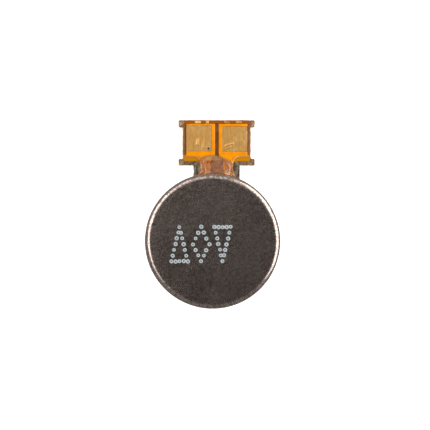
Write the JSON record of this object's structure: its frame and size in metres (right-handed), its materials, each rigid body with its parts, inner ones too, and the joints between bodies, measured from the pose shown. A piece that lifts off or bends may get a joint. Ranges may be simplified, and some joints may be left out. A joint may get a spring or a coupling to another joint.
{
  "type": "vibration coin motor",
  "caption": "Flat round vibration motor: weighted rotor on a fixed shaft in a steel case, with a printed flex tail and gold contact pads.",
  "frame": {"origin": "on the rotor's axis, at the underside of the base plate", "axes": "+Z along the rotor's axis from the base plate to the closed top of the case; +Y from the axis along the flex tail; +X to the right seen from the top with the tail pointing up"},
  "size_m": [0.01, 0.014, 0.0027],
  "materials": {
    "case_steel": "satin",
    "base_steel": "satin",
    "shaft_steel": "polished",
    "adhesive": "matte",
    "polyimide": "satin",
    "cover_film": "gloss",
    "copper_foil": "satin",
    "gold_plating": "satin",
    "seal_resin": "gloss",
    "magnet": "satin",
    "washer_film": "satin",
    "brush_alloy": "satin",
    "solder": "gloss",
    "sintered_bronze": "matte",
    "board": "satin",
    "mould_plastic": "satin",
    "enamelled_wire": "gloss",
    "tungsten": "matte"
  },
  "bodies": {
    "stator": {"case_cup": "case_steel", "base_plate": "base_steel", "shaft": "shaft_steel", "flex_adhesive": "adhesive", "flex_base_film": "polyimide", "flex_copper_left": "copper_foil", "flex_copper_right": "copper_foil", "flex_cover_film": "cover_film", "contact_pad_left": "gold_plating", "contact_pad_right": "gold_plating", "tail_seal": "seal_resin", "ring_magnet": "magnet", "lower_washer": "washer_film", "upper_washer": "washer_film", "brush_left": "brush_alloy", "brush_right": "brush_alloy", "brush_solder_left": "solder", "brush_solder_right": "solder"},
    "rotor": {"bearing": "sintered_bronze", "rotor_board": "board", "rotor_mould": "mould_plastic", "coil_left": "enamelled_wire", "coil_right": "enamelled_wire", "counterweight": "tungsten", "commutator_segment_1": "gold_plating", "commutator_segment_2": "gold_plating", "commutator_segment_3": "gold_plating", "commutator_segment_4": "gold_plating", "commutator_segment_5": "gold_plating", "commutator_segment_6": "gold_plating", "coil_solder_1": "solder", "coil_solder_2": "solder", "coil_solder_3": "solder", "coil_solder_4": "solder"}
  },
  "joints": [
    {"name": "rotor_spin", "type": "hinge", "parent": "stator", "child": "rotor", "pos_m": [0, 0, 0], "axis": [0, 0, 1], "continuous": true}
  ]
}
